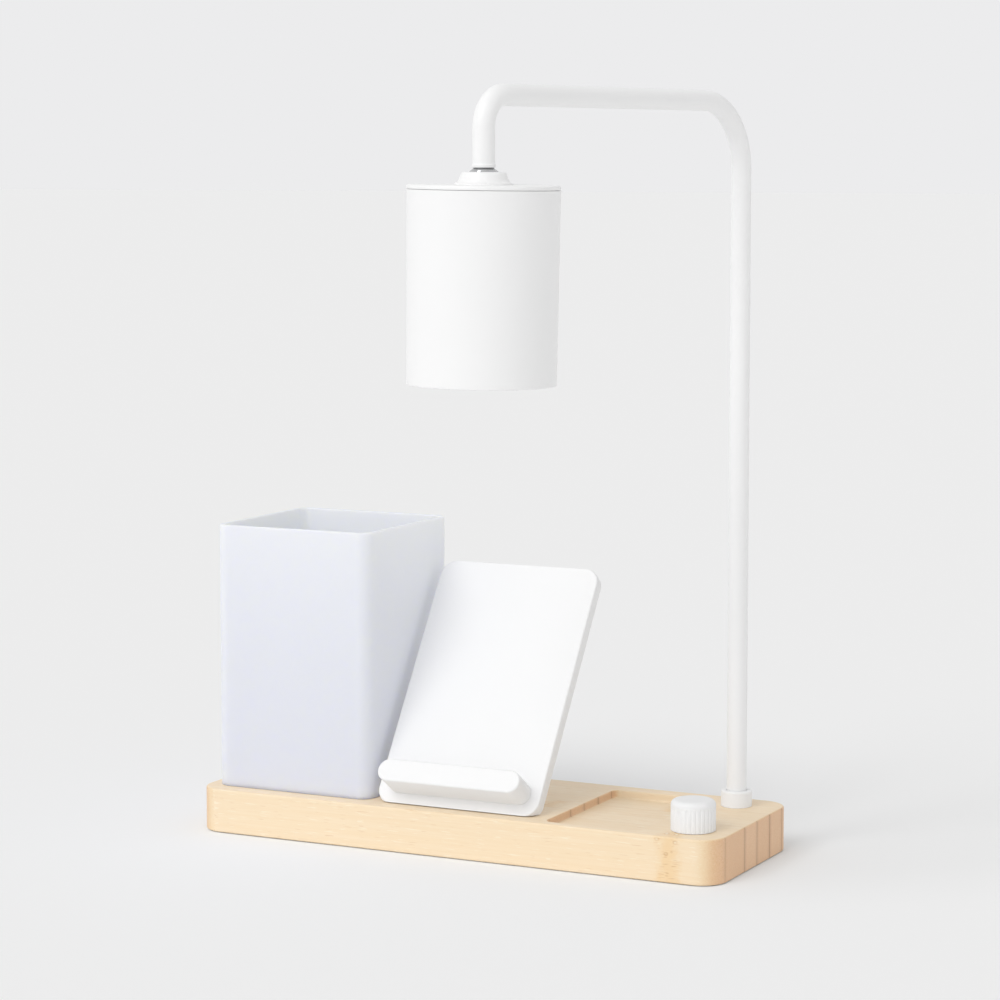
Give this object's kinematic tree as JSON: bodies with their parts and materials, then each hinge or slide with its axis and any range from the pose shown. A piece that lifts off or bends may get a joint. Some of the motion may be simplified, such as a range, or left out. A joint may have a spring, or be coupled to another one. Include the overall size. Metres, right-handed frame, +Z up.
{
  "type": "desk lamp with organizer",
  "caption": "Desk lamp with a drum shade on a bent tube, standing on a bamboo organizer board with a square cup, a leaning phone stand, a shallow tray and a dimmer knob.",
  "frame": {"origin": "centre of the underside of the pad under the board, in the plane of the desk", "axes": "+Z up, +X along the board towards the end with the knob and the pole, -Y towards the board's front, where the phone stand's ledge is"},
  "size_m": [0.29, 0.2585, 0.3795],
  "materials": {
    "bamboo": "clear-lacquered laminated bamboo, satin",
    "pad_rubber": "matt foamed rubber",
    "cover_plastic": "fine moulded texture",
    "ballast_steel": "plain cut plate",
    "screw_steel": "zinc plated",
    "frosted_plastic": "frosted, slightly see-through",
    "white_plastic": "fine satin moulding",
    "shaft_steel": "turned",
    "nut_steel": "zinc plated",
    "case_plastic": "moulded",
    "nut_brass": "turned",
    "circuit_board": "solder mask",
    "choke_copper": "enamelled copper winding",
    "white_metal": "smooth satin white powder coat",
    "lead_sheath": "soft sheath",
    "gland_rubber": "moulded",
    "ball_chrome": "polished",
    "sink_aluminium": "as cast",
    "led_board_white": "white solder mask",
    "reflector_white": "matt white",
    "diffuser_opal": "opal"
  },
  "bodies": {
    "base": {"base_board": "bamboo", "underside_pad": "pad_rubber", "bottom_cover": "cover_plastic", "ballast_plate": "ballast_steel", "cover_screw_1": "screw_steel", "cover_screw_2": "screw_steel", "cover_screw_3": "screw_steel", "cover_screw_4": "screw_steel", "cover_screw_5": "screw_steel", "ballast_screw_1": "screw_steel", "ballast_screw_2": "screw_steel", "stand_plate": "white_plastic", "stand_screw_1": "screw_steel", "stand_screw_2": "screw_steel", "dimmer_case": "case_plastic", "dimmer_bush": "nut_brass", "dimmer_washer": "shaft_steel", "dimmer_nut": "nut_brass", "control_board": "circuit_board", "terminal_block": "case_plastic", "board_choke": "choke_copper", "board_capacitor": "case_plastic", "board_screw_1": "screw_steel", "board_screw_2": "screw_steel", "collar": "white_metal", "collar_nut": "nut_steel", "cord_gland": "gland_rubber", "pole_lead": "lead_sheath", "dimmer_lead": "lead_sheath"},
    "knob": {"knob": "white_plastic", "dimmer_shaft": "shaft_steel"},
    "cup": {"cup": "frosted_plastic"},
    "arm": {"pole_arm": "white_metal", "pole_nipple": "shaft_steel", "pole_washer": "shaft_steel", "pole_nut": "nut_steel", "lamp_lead": "lead_sheath"},
    "swivel": {"ball_stud": "ball_chrome"},
    "shade": {"swivel_housing": "white_metal", "housing_nut": "nut_steel", "pressure_cup": "white_plastic", "holder_stem": "shaft_steel", "shade_cap": "white_metal", "shade_shell": "white_metal", "heat_sink": "sink_aluminium", "led_board": "led_board_white", "led_screw_1": "screw_steel", "led_screw_2": "screw_steel", "reflector": "reflector_white", "diffuser": "diffuser_opal", "diffuser_ring": "shaft_steel", "shade_lead": "lead_sheath"}
  },
  "joints": [
    {"name": "pole_swivel", "type": "hinge", "parent": "base", "child": "arm", "pos_m": [0.1224, 0.0315, 0.0228], "axis": [0, 0, 1], "range_deg": [-79, 101]},
    {"name": "shade_turn", "type": "hinge", "parent": "arm", "child": "swivel", "pos_m": [0.08271, -0.17268, 0.3341], "axis": [0, 0, 1], "range_deg": [-170, 170]},
    {"name": "shade_tilt", "type": "hinge", "parent": "swivel", "child": "shade", "pos_m": [0.08271, -0.17268, 0.3341], "axis": [0.9816, -0.1908, 0], "range_deg": [-13, 13]},
    {"name": "knob_turn", "type": "hinge", "parent": "base", "child": "knob", "pos_m": [0.1248, -0.0305, 0.0228], "axis": [0, 0, 1], "range_deg": [-280, 0]},
    {"name": "cup_lift", "type": "slide", "parent": "base", "child": "cup", "axis": [0, 0, 1], "range_m": [0, 0.07]}
  ]
}
